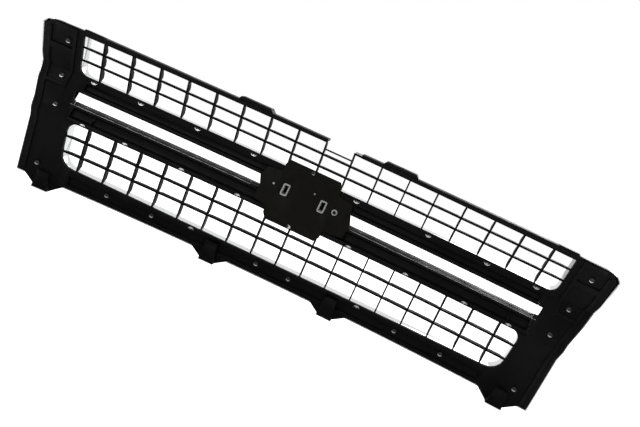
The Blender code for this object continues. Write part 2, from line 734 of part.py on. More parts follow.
def end_panel(side):
    """A flank of the carrier: plate, forward skirt, ridges around its pads, and the outer leg."""
    edge = panel_edge()
    block = edge + [(FOOT_SPLIT, RAIL_BOTTOM), (FOOT_SPLIT, RAIL_TOP - GAP)]
    low, high = RAIL_BOTTOM + WALL, RAIL_TOP - GAP - WALL
    core = [(x - WALL, min(z, high)) for x, z in edge[:-1]]
    core += [(edge[-1][0] - WALL, low), (0.3, low), (0.3, high)]
    panel = plate(mirrored(block, side), SKIRT_FRONT, FLANGE_REAR)
    panel = cut(panel, plate(mirrored(core, side), -0.03, FLANGE_REAR - WALL))
    for ridge in ridges():
        panel = fused(panel, plate(mirrored(ridge, side), FLANGE_REAR - 0.001, FLANGE_REAR + RIDGE_HEIGHT))
    panel = fused(panel, leg(side * LEG_CENTRES[1], LEG_DROPS[1], LEG_HEIGHTS[1]))
    x0, x1 = sorted((side * 0.3, side * (MID_SPLIT + GAP)))
    f0, f1 = sorted((side * 0.3, side * (FOOT_SPLIT + GAP)))
    t0, t1 = sorted((side * 0.3, side * (UPPER_HALF + GAP)))
    return cut(
        panel,
        plate(upper_opening(), -0.03, 0.03),
        plate(lower_opening(), -0.03, 0.03),
        plate(slot_opening(side), -0.03, 0.03),
        box(x0, x1, -0.03, 0.03, LOWER_TOP - 0.001, UPPER_BOTTOM + 0.001),
        box(f0, f1, -0.03, 0.03, RAIL_BOTTOM - 0.03, LOWER_BOTTOM + 0.02),
        box(t0, t1, -0.03, 0.03, UPPER_TOP - UPPER_TOP_DROP - 0.012, RAIL_TOP + 0.01),
        joined([shank_hole(x, z) for x, z in end_screws(side)]),
    )


# ---- bright front pieces ---------------------------------------------------------------------------------


def latch_notch():
    """The room for the hood latch between the centre rib and its left neighbour, cut down from the top."""
    face = RIB_THICK / 2
    return box(-UPPER_PITCH + face, -face, -0.06, 0.03, UPPER_TOP - LATCH_NOTCH, RAIL_TOP + 0.02)


def surround():
    """A tray-shaped ring around both grids, open at the top for the hood latch."""
    front = -BRIGHT_FRONT
    wide = UPPER_HALF + 0.2
    ring = plate(shell_outline(), front, SHELL_REAR)
    hollow = plate(shell_outline(SKIN), front + SKIN, 0.01)
    for opening in (upper_opening(SKIN), lower_opening(SKIN)):
        hollow = cut(hollow, plate(opening, -0.05, 0.03))
    over_shelf = box(-wide, wide, front + SKIN, 0.01, RAIL_TOP - WALL - GAP, RAIL_TOP + 0.02)
    belt_end = BELT_HALF + GAP
    belt = box(-belt_end, belt_end, -0.06, 0.03, LOWER_TOP + SKIN, UPPER_BOTTOM - SKIN)
    openings = [plate(upper_opening(), -0.06, 0.03), plate(lower_opening(), -0.06, 0.03)]
    return cut(ring, hollow, *openings, over_shelf, belt, latch_notch())


def centre_bar(upper):
    """One of the two crowned channels across the middle; the slots are the room between them."""
    if upper:
        edge, side, slot = UPPER_BOTTOM - SKIN - GAP, -1, SLOT_TOP
    else:
        edge, side, slot = LOWER_TOP + SKIN + GAP, 1, SLOT_BOTTOM - SLOT_FALL
    path = [
        (SHELL_REAR, edge),
        (-0.0270, edge),
        (-0.0320, edge + side * 0.0045),
        (-BAR_FRONT, edge + side * 0.0140),
        (-BAR_FRONT - BAR_CROWN, slot),
    ]
    path = offset_path(path[::-1] if upper else path, SKIN)
    return cut(section(path, -BELT_HALF, BELT_HALF), badge_openings(-0.06, 0.02))


def badge_openings(front, rear):
    """The two rectangular holes and the round one that the badge and its sleeves pass through."""
    w, h = SOCKET_TUBE[0] / 2 + GAP, SOCKET_TUBE[1] / 2 + GAP
    holes = [box(s * BADGE_X - w, s * BADGE_X + w, front, rear, BADGE_Z - h, BADGE_Z + h) for s in (-1, 1)]
    holes.append(round_bar(STUD_X, BADGE_Z, STUD_RADIUS + HOLE_PLAY, front, rear, 10))
    return joined(holes)


# ---- badge -----------------------------------------------------------------------------------------------


def plate_screws():
    """The two screws of the backing plate, one in each ear."""
    return [(PLATE_SCREW_X, UPPER_BOTTOM + 0.0100), (PLATE_SCREW_X, LOWER_TOP - 0.0092)]


def backing_plate():
    """The plate behind the badge: narrow ears over both grids and a wide waist between the slots."""
    ear, waist = PLATE_EAR, SLOT_INNER
    upper, lower = UPPER_BOTTOM + PLATE_RISE, LOWER_TOP - PLATE_RISE + 0.0007
    shoulder, hip = UPPER_BOTTOM - 0.0090, LOWER_TOP + 0.0079
    outline = [
        (-ear + 0.005, upper),
        (ear - 0.005, upper),
        (ear, upper - 0.011),
        (ear + 0.001, shoulder),
        (waist - 0.006, shoulder - 0.004),
        (waist, SLOT_TOP),
        (waist - SLOT_SLANT, SLOT_BOTTOM),
        (waist - 0.008, hip + 0.0045),
        (ear + 0.001, hip),
        (ear, lower + 0.010),
        (ear - 0.007, lower),
        (-ear + 0.007, lower),
        (-ear, lower + 0.010),
        (-ear - 0.001, hip),
        (-waist - 0.004, hip + 0.0045),
        (-waist - SLOT_SLANT, SLOT_BOTTOM),
        (-waist, SLOT_TOP),
        (-waist + 0.004, shoulder - 0.004),
        (-ear - 0.001, shoulder),
        (-ear, upper - 0.011),
    ]
    front = FLANGE_REAR + GAP
    solid = plate(outline, front, front + PLATE_THICK)
    return cut(solid, badge_openings(-0.02, 0.03), joined([shank_hole(x, z) for x, z in plate_screws()]))


def rectangle(x, z, size):
    """Clockwise from the top left, as (width, height) about its centre."""
    w, h = size[0] / 2, size[1] / 2
    return [(x - w, z + h), (x + w, z + h), (x + w, z - h), (x - w, z - h)]


def badge_sleeve(side):
    """A flanged rectangular tube through the plate, which takes one prong of the badge."""
    x = side * BADGE_X
    outline = fillet(rectangle(x, BADGE_Z, SOCKET_OUTER), [0.003] * 4, 3)
    flange = plate(outline, PLATE_SEAT, PLATE_SEAT + SLEEVE_FLANGE)
    tube = plate(rectangle(x, BADGE_Z, SOCKET_TUBE), -0.0200, PLATE_SEAT + SLEEVE_FLANGE / 2)
    return cut(fused(flange, tube), plate(rectangle(x, BADGE_Z, SOCKET_BORE), -0.03, 0.02))


def badge_blank():
    """A plain rounded badge with two prongs into the sleeves and a stud beside them."""
    face = -BAR_FRONT - BAR_CROWN - GAP
    body = rectangle(0, BADGE_Z, (2 * BADGE_HALF, 2 * BADGE_TALL))
    raised = rectangle(0, BADGE_Z, (2 * (BADGE_HALF - BADGE_RIM), 2 * (BADGE_TALL - BADGE_RIM)))
    front = face - BADGE_THICK
    badge = plate(fillet(body, [BADGE_CORNER] * 4), front, face)
    badge = fused(badge, plate(fillet(raised, [BADGE_CORNER - BADGE_RIM] * 4), front - 0.002, front + 0.0005))
    w, h = SOCKET_BORE[0] / 2 - HOLE_PLAY, SOCKET_BORE[1] / 2 - HOLE_PLAY
    start = face - 0.001
    xs = (-BADGE_X, BADGE_X)
    prongs = [box(x - w, x + w, start, PRONG_END, BADGE_Z - h, BADGE_Z + h) for x in xs]
    prongs.append(round_bar(STUD_X, BADGE_Z, STUD_RADIUS, start, PLATE_SEAT + 0.0029, 10))
    return fused(badge, joined(prongs))


def push_nut(x, z, bore, seat):
    """A round spring nut pushed over a stud."""
    nut = round_bar(x, z, NUT_RADIUS, seat, seat + 0.0014, 16)
    return cut(nut, round_bar(x, z, bore, seat - 0.01, seat + 0.01, 10))


# ---- mounts and fasteners --------------------------------------------------------------------------------


def top_tab(side):
    """A hollow bolt-down pad that sits on the top rail."""
    x, low, high = side * TAB_CENTRE, RAIL_TOP + GAP, RAIL_TOP + GAP + TAB_RISE
    crest = TAB_HALF - TAB_SLOPE
    outline = [(x - TAB_HALF, low), (x - crest, high), (x + crest, high), (x + TAB_HALF, low)]
    tab = plate(outline, TAB_FRONT, TAB_REAR)
    foot, roof = TAB_HALF - 0.004, crest - WALL
    room = [(x - foot, low - 0.01), (x - roof, high - WALL), (x + roof, high - WALL), (x + foot, low - 0.01)]
    tab = cut(tab, plate(room, TAB_FRONT + 0.002, TAB_REAR - 0.002))
    turns = [math.tau * (i + 0.5) / 12 for i in range(12)]
    hole = [(x + TAB_BOLT_RADIUS * math.cos(a), TAB_BOLT_Y + TAB_BOLT_RADIUS * math.sin(a)) for a in turns]
    return cut(tab, prism(hole, lambda u, v, w: (u, v, w), low - 0.01, high + 0.01))


def spring_clip(x, z, up):
    """A half-round spring clip with a leg through its flange; up is the way its round side faces."""
    seat = FLANGE_REAR + GAP
    turns = [math.pi * i / 8 for i in range(9)]
    arc = [(x + CLIP_WIDTH / 2 * math.cos(a), z + up * CLIP_HEIGHT * (math.sin(a) - 0.4)) for a in turns]
    head = plate(arc, seat, seat + CLIP_HEAD)
    leg_end = -RING_THICK + GAP if up < 0 else FLANGE_REAR - WALL
    return fused(head, plate(rectangle(x, z, CLIP_LEG), leg_end, seat + CLIP_HEAD / 2))


def screw(x, z, seat, reach):
    """A low round-headed screw."""
    head = round_bar(x, z, SCREW_HEAD_RADIUS, seat, seat + SCREW_HEAD_HEIGHT, 12)
    return fused(head, round_bar(x, z, SCREW_SHANK_RADIUS, seat - reach, seat + SCREW_HEAD_HEIGHT / 2, 8))


# ---- assembly --------------------------------------------------------------------------------------------


def add_fasteners(zinc, frame):
    for i, x in enumerate(UPPER_CLIPS_X, 1):
        add(f"upper_clip_{i}", spring_clip(x, UPPER_BOTTOM - CLIP_DROPS[0], -1), zinc, frame)
    for i, x in enumerate(LOWER_CLIPS_X, 1):
        add(f"lower_clip_{i}", spring_clip(x, LOWER_TOP + CLIP_DROPS[1], 1), zinc, frame)
    for i, x in enumerate(SILL_CLIPS_X, 1):
        add(f"sill_clip_{i}", spring_clip(x, LOWER_BOTTOM - CLIP_DROPS[2], 1), zinc, frame)
    for i, x in enumerate(SILL_SCREWS_X, 1):
        seat = FLANGE_REAR - SILL_RECESS + GAP
        add(f"sill_screw_{i}", screw(x, LOWER_BOTTOM - SILL_SCREW_DROP, seat, SCREW_REACH), zinc, frame)
    for side, name in ((-1, "left"), (1, "right")):
        for i, (x, z) in enumerate(end_screws(side), 1):
            add(f"end_screw_{name}_{i}", screw(x, z, FLANGE_REAR + GAP, SCREW_REACH), zinc, frame)
    for i, (x, z) in enumerate(plate_screws(), 1):
        add(f"plate_screw_{i}", screw(x, z, PLATE_SEAT, PLATE_THICK), zinc, frame)


def main():
    clear_scene()
    frame = bpy.data.objects.new("grille_frame", None)
    bpy.context.scene.collection.objects.link(frame)

    black = material("black_moulding", BLACK, 0.42, 0.0)
    grid_black = material("grid_moulding", BLACK, 0.38, 0.0)
    badge_black = material("backing_moulding", BADGE_BLACK, 0.45, 0.0)
    bright = material("bright_plating", BRIGHT, 0.08, 1.0)
    zinc = material("zinc_plating", ZINC, 0.30, 1.0)
    grey = material("grey_plastic", GREY, 0.45, 0.0)

    add("surround", surround(), bright, frame)
    add("centre_bar_upper", centre_bar(True), bright, frame)
    add("centre_bar_lower", centre_bar(False), bright, frame)
    add("badge_blank", badge_blank(), bright, frame)
    add("upper_grid", upper_grid(), grid_black, frame)
    add("lower_grid", lower_grid(), grid_black, frame)
    add("top_rail_left", top_rail(-UPPER_HALF, -LATCH_CLEAR), black, frame)
    add("top_rail_right", top_rail(-RIB_THICK / 2, UPPER_HALF), black, frame)
    add("mid_rail_upper", mid_rail_upper(), black, frame)
    add("mid_rail_lower", mid_rail_lower(), black, frame)
    add("bottom_rail", bottom_rail(), black, frame)
    add("end_panel_left", end_panel(-1), black, frame)
    add("end_panel_right", end_panel(1), black, frame)
    add("backing_plate", backing_plate(), badge_black, frame)
    add("badge_sleeve_left", badge_sleeve(-1), grey, frame)
    add("badge_sleeve_right", badge_sleeve(1), grey, frame)
    add("badge_push_nut", push_nut(STUD_X, BADGE_Z, STUD_RADIUS + 0.0002, PLATE_SEAT), grey, frame)
    add("top_tab_left", top_tab(-1), black, frame)
    add("top_tab_right", top_tab(1), black, frame)
    add_fasteners(zinc, frame)

    bpy.context.view_layer.update()
    corners = [o.matrix_world @ v.co for o in frame.children for v in o.data.vertices]
    low = [min(c[i] for c in corners) for i in range(3)]
    high = [max(c[i] for c in corners) for i in range(3)]
    frame.location = [-(a + b) / 2 for a, b in zip(low, high)]


main()
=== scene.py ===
# %% [markdown]
# A vehicle's front grille, seen from the side that nobody sees once it is bolted on. A bright plated shell
# faces forward. Behind it sit two black egg-crate grids, and black carriers tie everything together with
# spring clips and screws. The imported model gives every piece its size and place. This script adds what a
# size can't say: how the mouldings curve, how their edges are rounded, and how each finish takes the light.
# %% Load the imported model
import math

import bmesh
import bpy
from mathutils import Matrix, Vector


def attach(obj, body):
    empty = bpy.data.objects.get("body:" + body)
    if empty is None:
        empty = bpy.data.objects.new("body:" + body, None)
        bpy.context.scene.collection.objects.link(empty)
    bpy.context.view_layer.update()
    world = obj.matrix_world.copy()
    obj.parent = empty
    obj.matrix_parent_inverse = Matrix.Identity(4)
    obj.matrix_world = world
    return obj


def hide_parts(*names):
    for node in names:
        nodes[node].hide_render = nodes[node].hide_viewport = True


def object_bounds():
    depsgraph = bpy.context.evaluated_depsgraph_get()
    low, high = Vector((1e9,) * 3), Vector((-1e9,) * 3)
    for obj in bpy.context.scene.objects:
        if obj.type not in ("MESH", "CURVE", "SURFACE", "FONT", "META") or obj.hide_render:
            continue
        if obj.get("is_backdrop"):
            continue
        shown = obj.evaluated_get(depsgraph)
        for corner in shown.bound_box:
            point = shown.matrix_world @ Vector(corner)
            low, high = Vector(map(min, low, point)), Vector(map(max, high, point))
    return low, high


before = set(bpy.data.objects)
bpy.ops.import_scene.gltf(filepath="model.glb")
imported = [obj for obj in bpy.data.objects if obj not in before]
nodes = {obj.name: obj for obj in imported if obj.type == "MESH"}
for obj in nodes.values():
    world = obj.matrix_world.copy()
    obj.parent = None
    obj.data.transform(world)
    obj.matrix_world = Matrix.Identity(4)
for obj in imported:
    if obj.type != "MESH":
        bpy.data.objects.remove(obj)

cad_low, cad_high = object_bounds()
print("pieces in the packed model:", len(nodes))
print("its size in millimetres:", [round(1000 * s, 1) for s in cad_high - cad_low])

# %% [markdown]
# A catalogue scene has a floor and a background that are both nearly white. One large plane is enough for
# the floor. A curved sweep would also work, but it would hide the grille when somebody looks from behind it,
# so the background is the world itself. Light Path tells a ray that goes straight to the eye from a ray that
# lights the object. The first kind sees white, and the second kind sees a dimmer room with a bright side.
# %% Studio floor and world
FLOOR_HALF = 12.0
FLOOR_GREY = 0.86
FLOOR_GLOW = 0.80
ROOM_BRIGHT = 1.10
ROOM_DIM = 0.38
BRIGHT_UP_TO = -0.6
DIM_FROM = 0.3

scene = bpy.context.scene
scene.view_settings.view_transform = "Standard"


def math_node(tree, operation, first, second):
    step = tree.nodes.new("ShaderNodeMath")
    step.operation = operation
    for slot, value in enumerate((first, second)):
        if isinstance(value, (int, float)):
            step.inputs[slot].default_value = value
        else:
            tree.links.new(value, step.inputs[slot])
    return step.outputs[0]


def floor_plane():
    half = FLOOR_HALF
    z = cad_low.z - 0.0005
    mesh = bpy.data.meshes.new("studio_floor")
    corners = [(-half, -half, z), (half, -half, z), (half, half, z), (-half, half, z)]
    mesh.from_pydata(corners, [], [(0, 1, 2, 3)])
    floor = bpy.data.objects.new("studio_floor", mesh)
    scene.collection.objects.link(floor)
    paint = bpy.data.materials.new("floor_paint")
    paint.use_nodes = True
    shader = paint.node_tree.nodes["Principled BSDF"]
    shader.inputs["Base Color"].default_value = (FLOOR_GREY, FLOOR_GREY, FLOOR_GREY, 1)
    shader.inputs["Roughness"].default_value = 0.9
    shader.inputs["Specular IOR Level"].default_value = 0.1
    shader.inputs["Emission Color"].default_value = (1, 1, 1, 1)
    path = paint.node_tree.nodes.new("ShaderNodeLightPath")
    glow = math_node(paint.node_tree, "MULTIPLY", path.outputs["Is Camera Ray"], FLOOR_GLOW)
    paint.node_tree.links.new(glow, shader.inputs["Emission Strength"])
    mesh.materials.append(paint)
    floor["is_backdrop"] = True
    return floor


def studio_world():
    world = bpy.data.worlds.new("studio_world")
    world.use_nodes = True
    scene.world = world
    tree = world.node_tree
    tree.nodes.clear()
    place = tree.nodes.new("ShaderNodeTexCoord")
    parts = tree.nodes.new("ShaderNodeSeparateXYZ")
    ramp = tree.nodes.new("ShaderNodeMapRange")
    room = tree.nodes.new("ShaderNodeBackground")
    white = tree.nodes.new("ShaderNodeBackground")
    path = tree.nodes.new("ShaderNodeLightPath")
    choose = tree.nodes.new("ShaderNodeMixShader")
    out = tree.nodes.new("ShaderNodeOutputWorld")
    ramp.inputs["From Min"].default_value = BRIGHT_UP_TO
    ramp.inputs["From Max"].default_value = DIM_FROM
    ramp.inputs["To Min"].default_value = ROOM_BRIGHT
    ramp.inputs["To Max"].default_value = ROOM_DIM
    tree.links.new(place.outputs["Generated"], parts.inputs[0])
    tree.links.new(parts.outputs["Y"], ramp.inputs["Value"])
    tree.links.new(ramp.outputs["Result"], room.inputs["Strength"])
    tree.links.new(path.outputs["Is Camera Ray"], choose.inputs[0])
    tree.links.new(room.outputs[0], choose.inputs[1])
    tree.links.new(white.outputs[0], choose.inputs[2])
    tree.links.new(choose.outputs[0], out.inputs["Surface"])
    white.inputs["Color"].default_value = (1, 1, 1, 1)
    return world


floor = floor_plane()
studio_world()
print("floor at z =", round(floor.data.vertices[0].co.z, 4))

# %% [markdown]
# Black plastic is only as readable as what it reflects. Small lamps would leave sharp dots on it, and large
# soft boxes leave long quiet bands. One box hangs overhead and whitens the floor, one stands in front for the
# plated side, and a weak one stands at the back to give the carriers their shape.
# %% Soft boxes


def softbox(name, place, aim, size, power):
    lamp = bpy.data.lights.new(name, "AREA")
    lamp.shape = "RECTANGLE"
    lamp.size, lamp.size_y = size
    lamp.energy = power
    box = bpy.data.objects.new(name, lamp)
    scene.collection.objects.link(box)
    box.location = place
    box.rotation_euler = (Vector(aim) - Vector(place)).to_track_quat("-Z", "Y").to_euler()
    return box


softbox("overhead_box", place=(0, -0.5, 2.0), aim=(0, -0.2, 0), size=(3.6, 2.4), power=30)
softbox("front_box", place=(-1.3, -2.6, 1.3), aim=(0, 0, 0), size=(1.6, 1.6), power=30)
softbox("back_box", place=(1.2, 2.2, 1.6), aim=(0, 0, 0), size=(1.4, 1.0), power=14)

# %% [markdown]
# The camera stands behind the grille, a little above it and a little to one side, and it is tipped about its
# own line of sight, so that the long grille runs from corner to corner. A camera could be turned by three
# angles, but it is easier to place by where it stands, what it looks at, and how far it is rolled.
# %% Camera
EYE = Vector((-0.1706, 1.4283, 0.1316))
LOOK_AT = Vector((-0.0390, -0.0100, 0.0214))
ROLL = math.radians(24.55)
FOCAL_LENGTH = 45
SENSOR_WIDTH = 36

lens = bpy.data.cameras.new("studio_camera")
lens.lens = FOCAL_LENGTH
lens.sensor_width = SENSOR_WIDTH
camera = bpy.data.objects.new("studio_camera", lens)
scene.collection.objects.link(camera)
level = (LOOK_AT - EYE).to_track_quat("-Z", "Y").to_matrix().to_4x4()
camera.matrix_world = Matrix.Translation(EYE) @ level @ Matrix.Rotation(ROLL, 4, "Z")
scene.camera = camera
print("camera stands", round((LOOK_AT - EYE).length, 3), "m away")

# %% [markdown]
# Several finishes share the same small effects, so each effect is built once as a node group: the fine grain
# of a mould, the paler and rougher edges that handling leaves, the dust that settles on what faces up, and
# faint scuffs. A group only hands out masks and heights. Each material decides what to do with them.
# %% Helper for node groups


def new_group(name, inputs, outputs):
    group = bpy.data.node_groups.new(name, "ShaderNodeTree")
    for label, value in inputs:
        socket = group.interface.new_socket(label, in_out="INPUT", socket_type="NodeSocketFloat")
        socket.default_value = value
    for label in outputs:
        group.interface.new_socket(label, in_out="OUTPUT", socket_type="NodeSocketFloat")
    start = group.nodes.new("NodeGroupInput")
    end = group.nodes.new("NodeGroupOutput")
    return group, start, end


def noise(tree, coords, scale, detail, rough=0.5):
    made = tree.nodes.new("ShaderNodeTexNoise")
    tree.links.new(coords, made.inputs["Vector"])
    made.inputs["Detail"].default_value = detail
    made.inputs["Roughness"].default_value = rough
    if isinstance(scale, (int, float)):
        made.inputs["Scale"].default_value = scale
    else:
        tree.links.new(scale, made.inputs["Scale"])
    return made.outputs[0]


def ranged(tree, value, low, high):
    """The value stretched so that low becomes 0 and high becomes 1."""
    made = tree.nodes.new("ShaderNodeMapRange")
    made.inputs["From Min"].default_value = low
    made.inputs["From Max"].default_value = high
    tree.links.new(value, made.inputs["Value"])
    return made.outputs[0]


print("node groups so far:", len(bpy.data.node_groups))

# %% [markdown]
# A mould's cavity is spark-eroded, which leaves a field of tiny pits on the plastic. Two noises of different
# sizes, one for the pits and one for slow waves where the plastic flowed, are closer to it than one.
# %% Mould grain


def mould_grain():
    sizes = [("Pit scale", 1500.0), ("Flow scale", 22.0)]
    group, start, end = new_group("mould_grain", sizes, ["Height", "Flow"])
    place = group.nodes.new("ShaderNodeTexCoord").outputs["Object"]
    pits = noise(group, place, start.outputs["Pit scale"], 3)
    flow = noise(group, place, start.outputs["Flow scale"], 4)
    waves = math_node(group, "MULTIPLY", flow, 0.6)
    group.links.new(math_node(group, "ADD", pits, waves), end.inputs["Height"])
    group.links.new(ranged(group, flow, 0.3, 0.7), end.inputs["Flow"])
    return group


GRAIN = mould_grain()
print("effect:", GRAIN.name)

# %% [markdown]
# Edges rub against everything else on the shelf. Worn edges could be painted one by one, but Geometry's
# Pointiness is already high on all of them. Noise breaks it up, so that the wear comes and goes along an
# edge, as it does on a used part.
# %% Edge wear


def edge_wear():
    group, start, end = new_group("edge_wear", [("Patch scale", 55.0), ("Amount", 1.0)], ["Mask"])
    place = group.nodes.new("ShaderNodeTexCoord").outputs["Object"]
    corner = ranged(group, group.nodes.new("ShaderNodeNewGeometry").outputs["Pointiness"], 0.52, 0.62)
    patches = ranged(group, noise(group, place, start.outputs["Patch scale"], 5, 0.7), 0.42, 0.66)
    rubbed = math_node(group, "MULTIPLY", corner, patches)
    worn = math_node(group, "MULTIPLY", rubbed, start.outputs["Amount"])
    group.links.new(worn, end.inputs["Mask"])
    return group


WEAR = edge_wear()
print("effect:", WEAR.name)

# %% [markdown]
# Dust lies on what faces up, and it keeps to patches. It could be painted by hand for each piece, but the
# normal's Z already says how far a face looks up, so one rule serves all of them.
# %% Settled dust


def settled_dust():
    group, start, end = new_group("settled_dust", [("Patch scale", 30.0), ("Amount", 1.0)], ["Mask"])
    place = group.nodes.new("ShaderNodeTexCoord").outputs["Object"]
    look = group.nodes.new("ShaderNodeSeparateXYZ")
    group.links.new(group.nodes.new("ShaderNodeNewGeometry").outputs["Normal"], look.inputs[0])
    upward = ranged(group, look.outputs["Z"], -0.15, 0.95)
    patches = ranged(group, noise(group, place, start.outputs["Patch scale"], 6, 0.65), 0.35, 0.75)
    fallen = math_node(group, "MULTIPLY", upward, patches)
    lying = math_node(group, "MULTIPLY", fallen, start.outputs["Amount"])
    group.links.new(lying, end.inputs["Mask"])
    return group


DUST = settled_dust()
print("effect:", DUST.name)

# %% [markdown]
# Scuffs are long, thin marks that packing and fitting leave. A scratch texture would repeat on a part this
# long. Noise doesn't, and it turns into streaks when it is squeezed hard along one direction.
# %% Scuffs


def scuffs():
    group, start, end = new_group("scuffs", [("Streak scale", 40.0)], ["Mask"])
    place = group.nodes.new("ShaderNodeTexCoord").outputs["Object"]
    squeeze = group.nodes.new("ShaderNodeMapping")
    squeeze.inputs["Scale"].default_value = (0.25, 2.0, 5.0)
    squeeze.inputs["Rotation"].default_value = (0.2, 0.35, 0.15)
    group.links.new(place, squeeze.inputs["Vector"])
    streaks = noise(group, squeeze.outputs[0], start.outputs["Streak scale"], 8, 0.8)
    group.links.new(ranged(group, streaks, 0.60, 0.78), end.inputs["Mask"])
    return group


SCUFFS = scuffs()
print("effect:", SCUFFS.name)

# %% [markdown]
# Each finish is a Principled shader with its constants on its own sockets and the shared masks on top. Colour
# goes from the base colour towards dust and wear, and roughness moves around its middle value.
# %% Helpers for finishes


def placed(tree, group, **values):
    node = tree.nodes.new("ShaderNodeGroup")
    node.node_tree = group
    for label, value in values.items():
        node.inputs[label.replace("_", " ").capitalize()].default_value = value
    return node


def tinted(tree, mask, under, over):
    """A colour that goes from under to over as the mask goes from 0 to 1. under may be a socket."""
    mix = tree.nodes.new("ShaderNodeMix")
    mix.data_type = "RGBA"
    tree.links.new(mask, mix.inputs[0])
    if isinstance(under, tuple):
        mix.inputs[6].default_value = (*under, 1)
    else:
        tree.links.new(under, mix.inputs[6])
    mix.inputs[7].default_value = (*over, 1)
    return mix.outputs[2]


def roughened(tree, middle, *shares):
    """Roughness: a middle value plus each mask times its share."""
    total = middle
    for mask, share in shares:
        total = math_node(tree, "ADD", math_node(tree, "MULTIPLY", mask, share), total)
    return total


def bumped(tree, height, distance, strength):
    bump = tree.nodes.new("ShaderNodeBump")
    bump.inputs["Distance"].default_value = distance
    bump.inputs["Strength"].default_value = strength
    tree.links.new(height, bump.inputs["Height"])
    return bump.outputs[0]


def finish(name):
    made = bpy.data.materials.new(name)
    made.use_nodes = True
    tree = made.node_tree
    return made, tree, tree.nodes["Principled BSDF"]


print("materials so far:", [m.name for m in bpy.data.materials if m.users])

# %% [markdown]
# The carriers, the grids and the plate behind the badge are all black, yet not the same black. The grids come
# from a smoother mould, and the plate is a touch warmer. Three copies of a material would soon differ by
# accident, so one function makes all three, and only what truly differs is passed to it.
# %% Black mouldings


def black_moulding(name, base, dusty, worn, middle, grain_strength, dust_amount, shine):
    made, tree, shader = finish(name)
    grain = placed(tree, GRAIN)
    wear = placed(tree, WEAR, amount=0.8)
    dust = placed(tree, DUST, amount=dust_amount)
    marks = placed(tree, SCUFFS)
    colour = tinted(tree, dust.outputs["Mask"], base, dusty)
    colour = tinted(tree, wear.outputs["Mask"], colour, worn)
    tree.links.new(colour, shader.inputs["Base Color"])
    rough = roughened(
        tree,
        middle,
        (grain.outputs["Flow"], 0.10),
        (marks.outputs["Mask"], 0.14),
        (dust.outputs["Mask"], 0.25),
        (wear.outputs["Mask"], 0.12),
    )
    tree.links.new(rough, shader.inputs["Roughness"])
    tree.links.new(bumped(tree, grain.outputs["Height"], 0.00008, grain_strength), shader.inputs["Normal"])
    shader.inputs["Specular IOR Level"].default_value = shine
    return made


CARRIER_BLACK = black_moulding(
    "carrier_black",
    base=(0.0036, 0.0036, 0.0038),
    dusty=(0.015, 0.0145, 0.014),
    worn=(0.026, 0.026, 0.027),
    middle=0.36,
    grain_strength=0.5,
    dust_amount=0.5,
    shine=0.09,
)
GRID_BLACK = black_moulding(
    "grid_black",
    base=(0.0038, 0.0038, 0.0043),
    dusty=(0.012, 0.012, 0.0118),
    worn=(0.022, 0.022, 0.023),
    middle=0.42,
    grain_strength=0.3,
    dust_amount=0.4,
    shine=0.03,
)
PLATE_BLACK = black_moulding(
    "plate_black",
    base=(0.0048, 0.0043, 0.0036),
    dusty=(0.014, 0.013, 0.011),
    worn=(0.028, 0.026, 0.024),
    middle=0.42,
    grain_strength=0.35,
    dust_amount=0.4,
    shine=0.10,
)
print("black mouldings:", CARRIER_BLACK.name, GRID_BLACK.name, PLATE_BLACK.name)

# %% [markdown]
# Plating on plastic is a mirror with the faint ripple of the plastic under it, and it dulls where fingers
# and dust have been. A perfect mirror would look drawn, so the metallic shader gets a little roughness and a
# very weak, wide bump.
# %% Bright plating


def bright_plating():
    made, tree, shader = finish("plated_bright")
    place = tree.nodes.new("ShaderNodeTexCoord").outputs["Object"]
    dust = placed(tree, DUST, amount=0.35)
    marks = placed(tree, SCUFFS, streak_scale=60.0)
    wear = placed(tree, WEAR, amount=0.5)
    colour = tinted(tree, dust.outputs["Mask"], (0.80, 0.81, 0.82), (0.52, 0.51, 0.49))
    colour = tinted(tree, wear.outputs["Mask"], colour, (0.62, 0.60, 0.56))
    tree.links.new(colour, shader.inputs["Base Color"])
    shader.inputs["Metallic"].default_value = 1
    rough = roughened(
        tree,
        0.05,
        (marks.outputs["Mask"], 0.10),
        (dust.outputs["Mask"], 0.30),
        (wear.outputs["Mask"], 0.15),
    )
    tree.links.new(rough, shader.inputs["Roughness"])
    ripple = noise(tree, place, 30, 2)
    tree.links.new(bumped(tree, ripple, 0.0006, 0.25), shader.inputs["Normal"])
    return made


PLATED = bright_plating()
print("bright plating:", PLATED.name)

# %% [markdown]
# The fasteners are zinc-plated spring steel. On the rims that catch the light, a bright and slightly blotchy
# zinc colour is a painted highlight; on the flats, a dark, dull copy of the same steel is painted shade. The
# badge's sleeves and nut are natural nylon, a waxy grey. Colour alone could tell the three apart. Grain,
# roughness and dust of their own make them read as different stuff.
# %% Zinc highlights, zinc in painted shade and grey nylon


def zinc_plating():
    made, tree, shader = finish("zinc_painted_highlight")
    place = tree.nodes.new("ShaderNodeTexCoord").outputs["Object"]
    blotch = noise(tree, place, 700, 5, 0.6)
    marks = placed(tree, SCUFFS, streak_scale=400.0)
    wear = placed(tree, WEAR, patch_scale=300.0)
    # bright zinc colour: a painted highlight, used only on strips where light catches the fasteners and slot
    # edges
    colour = tinted(tree, ranged(tree, blotch, 0.35, 0.65), (0.86, 0.86, 0.83), (0.70, 0.70, 0.68))
    colour = tinted(tree, wear.outputs["Mask"], colour, (0.92, 0.92, 0.90))
    tree.links.new(colour, shader.inputs["Base Color"])
    shader.inputs["Metallic"].default_value = 0.7
    rough = roughened(tree, 0.26, (blotch, 0.16), (marks.outputs["Mask"], 0.15))
    tree.links.new(rough, shader.inputs["Roughness"])
    tree.links.new(bumped(tree, blotch, 0.00010, 0.4), shader.inputs["Normal"])
    return made


